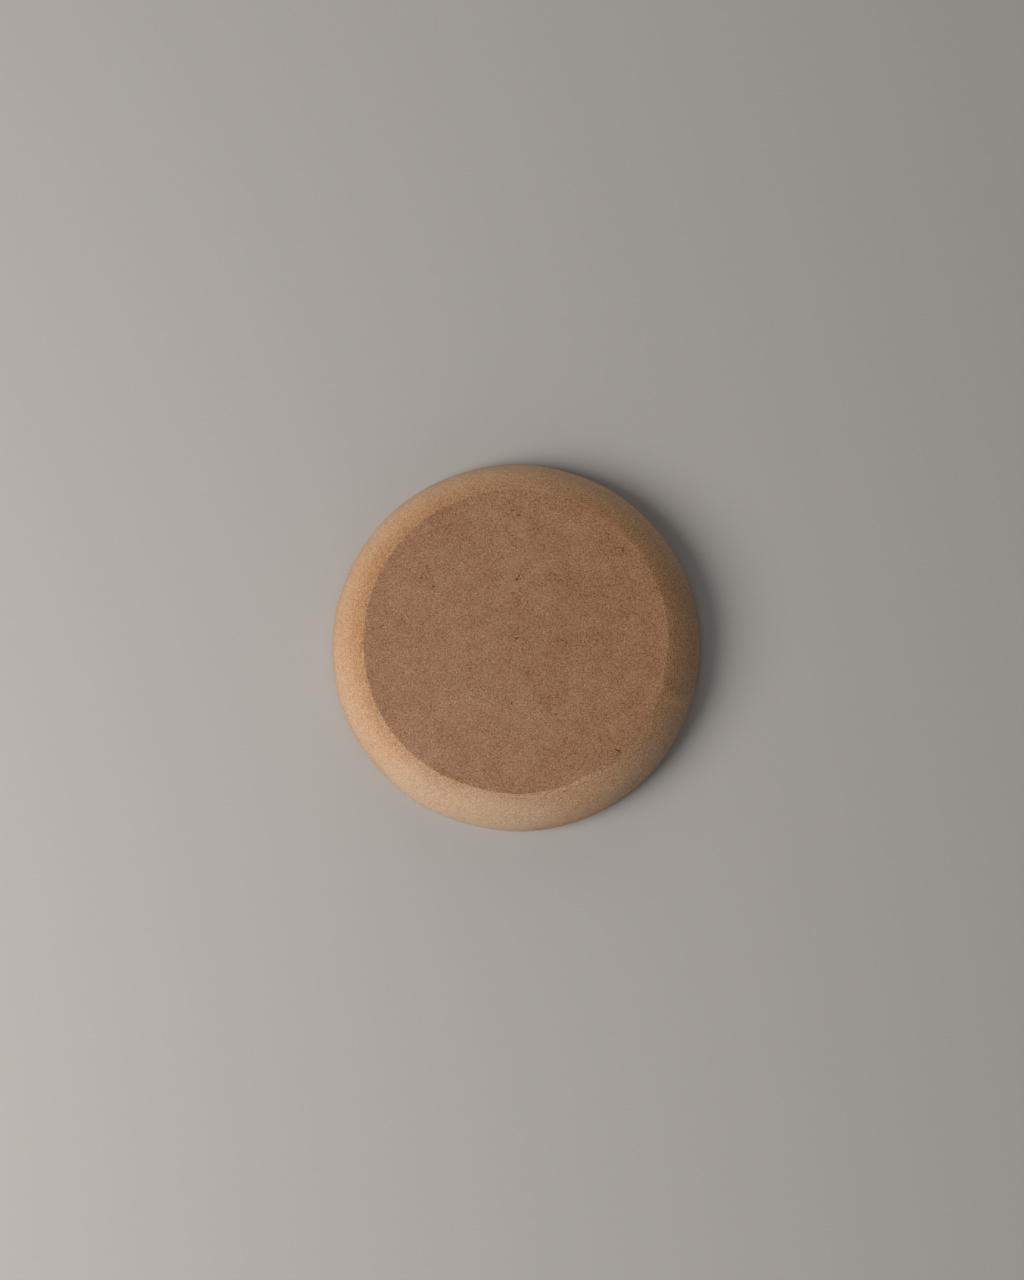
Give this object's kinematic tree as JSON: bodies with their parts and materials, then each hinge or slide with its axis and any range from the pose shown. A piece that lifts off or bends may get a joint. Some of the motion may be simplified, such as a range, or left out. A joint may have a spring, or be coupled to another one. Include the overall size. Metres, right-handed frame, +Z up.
{
  "type": "pottery drape mold",
  "caption": "Round drape mold of raw fibreboard for bending clay slabs: flat working face, crisp crease and a router-rounded edge down to a flat base.",
  "frame": {"origin": "centre of the flat underside, where the mold stands on the bench", "axes": "+Z up through the board, from the underside to the working face; the mold is round about Z, and +X and +Y lie in the underside"},
  "size_m": [0.127, 0.127, 0.0191],
  "materials": {
    "board_face": "matte",
    "board_core": "matte"
  },
  "bodies": {
    "root": {"bottom_face_layer": "board_face", "core_layer": "board_core", "top_face_layer": "board_face"}
  },
  "joints": []
}
